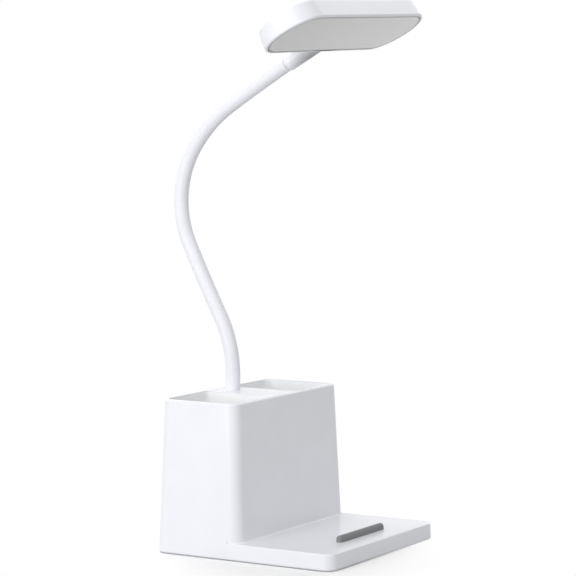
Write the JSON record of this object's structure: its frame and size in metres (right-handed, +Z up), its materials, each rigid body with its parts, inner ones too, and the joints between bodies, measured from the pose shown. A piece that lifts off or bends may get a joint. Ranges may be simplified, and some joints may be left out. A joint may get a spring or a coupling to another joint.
{
  "type": "desk lamp",
  "caption": "Desk lamp with a long flat head on a bendable neck, standing on a base with pen wells and a low phone ledge",
  "frame": {"origin": "middle of the base's footprint, at desk level", "axes": "+Z up, -Y towards the front with its phone ledge, +X to the right as seen from the front"},
  "size_m": [0.1659, 0.1599, 0.3545],
  "materials": {
    "white_shell": "satin white moulded plastic",
    "white_cover": "matt white moulded plastic",
    "sleeve": "smooth white silicone sleeve",
    "diffuser": "milky white, light grey when unlit",
    "stop_rubber": "soft grey rubber",
    "foot_rubber": "matt black rubber",
    "circuit_board": "green circuit board",
    "black_plastic": "black moulded plastic",
    "cell_can": "blue plastic wrap over a metal can",
    "grey_plastic": "grey moulded plastic",
    "red_wire": "red wire insulation",
    "white_wire": "white wire insulation",
    "lamp_board": "aluminium circuit board",
    "led": "yellow lamp faces on a tape",
    "steel": "plain zinc-plated steel"
  },
  "bodies": {
    "base": {"base_shell": "white_shell", "battery_cell": "cell_can", "battery_cradle": "grey_plastic", "battery_lead_high": "red_wire", "battery_lead_low": "red_wire", "battery_tab_high": "steel", "battery_tab_low": "steel", "board_screw_high": "steel", "board_screw_low": "steel", "bottom_cover": "white_cover", "charge_chip": "black_plastic", "charging_port": "steel", "counterweight": "steel", "cover_screw_front_left": "steel", "cover_screw_front_right": "steel", "cover_screw_rear_left": "steel", "cover_screw_rear_right": "steel", "foot_front_left": "foot_rubber", "foot_front_right": "foot_rubber", "foot_rear_left": "foot_rubber", "foot_rear_right": "foot_rubber", "main_board": "circuit_board", "neck_fitting": "steel", "neck_lead": "white_wire", "neck_nut": "steel", "neck_root": "sleeve", "neck_washer": "steel", "phone_stop": "stop_rubber", "port_tongue": "black_plastic", "touch_board": "circuit_board"},
    "link_01": {"neck_link_01": "sleeve"},
    "link_02": {"neck_link_02": "sleeve"},
    "link_03": {"neck_link_03": "sleeve"},
    "link_04": {"neck_link_04": "sleeve"},
    "link_05": {"neck_link_05": "sleeve"},
    "link_06": {"neck_link_06": "sleeve"},
    "link_07": {"neck_link_07": "sleeve"},
    "link_08": {"neck_link_08": "sleeve"},
    "head": {"neck_tip": "sleeve", "head_shell": "white_shell", "diffuser": "diffuser", "tip_fitting": "steel", "tip_nut": "steel", "lamp_board": "lamp_board", "lamp_screw_left": "steel", "lamp_screw_right": "steel", "led_tape_front": "led", "led_tape_rear": "led", "head_lead": "white_wire"}
  },
  "joints": [
    {"name": "neck_lower_bend", "type": "hinge", "parent": "base", "child": "link_01", "pos_m": [0, 0.0488, 0.1095], "axis": [1, 0, 0], "range_deg": [-18, 18]},
    {"name": "neck_side_bend", "type": "hinge", "parent": "link_01", "child": "link_02", "pos_m": [0, 0.05451, 0.13959], "axis": [0, 0.9305, -0.3664], "range_deg": [-15, 15]},
    {"name": "lower_bend_03", "type": "hinge", "parent": "link_02", "child": "link_03", "pos_m": [0, 0.0685, 0.16703], "axis": [1, 0, 0], "range_deg": [-18, 18]},
    {"name": "side_bend_04", "type": "hinge", "parent": "link_03", "child": "link_04", "pos_m": [0, 0.08223, 0.19462], "axis": [0, 0.9023, -0.431], "range_deg": [-15, 15]},
    {"name": "lower_bend_05", "type": "hinge", "parent": "link_04", "child": "link_05", "pos_m": [0, 0.08876, 0.22443], "axis": [1, 0, 0], "range_deg": [-18, 18]},
    {"name": "side_bend_06", "type": "hinge", "parent": "link_05", "child": "link_06", "pos_m": [0, 0.08091, 0.25393], "axis": [0, 0.8786, 0.4776], "range_deg": [-15, 15]},
    {"name": "neck_upper_bend", "type": "hinge", "parent": "link_06", "child": "link_07", "pos_m": [0, 0.06151, 0.27767], "axis": [1, 0, 0], "range_deg": [-26, 26]},
    {"name": "side_bend_08", "type": "hinge", "parent": "link_07", "child": "link_08", "pos_m": [0, 0.03605, 0.29495], "axis": [0, 0.5233, 0.8521], "range_deg": [-15, 15]},
    {"name": "upper_bend_09", "type": "hinge", "parent": "link_08", "child": "head", "pos_m": [0, 0.00958, 0.31072], "axis": [1, 0, 0], "range_deg": [-26, 26]}
  ],
  "couplings": [
    {"joint": "lower_bend_03", "follows": "neck_lower_bend", "ratio": 1},
    {"joint": "side_bend_04", "follows": "neck_side_bend", "ratio": 1},
    {"joint": "lower_bend_05", "follows": "neck_lower_bend", "ratio": 1},
    {"joint": "side_bend_06", "follows": "neck_side_bend", "ratio": 1},
    {"joint": "side_bend_08", "follows": "neck_side_bend", "ratio": 1},
    {"joint": "upper_bend_09", "follows": "neck_upper_bend", "ratio": 1}
  ]
}
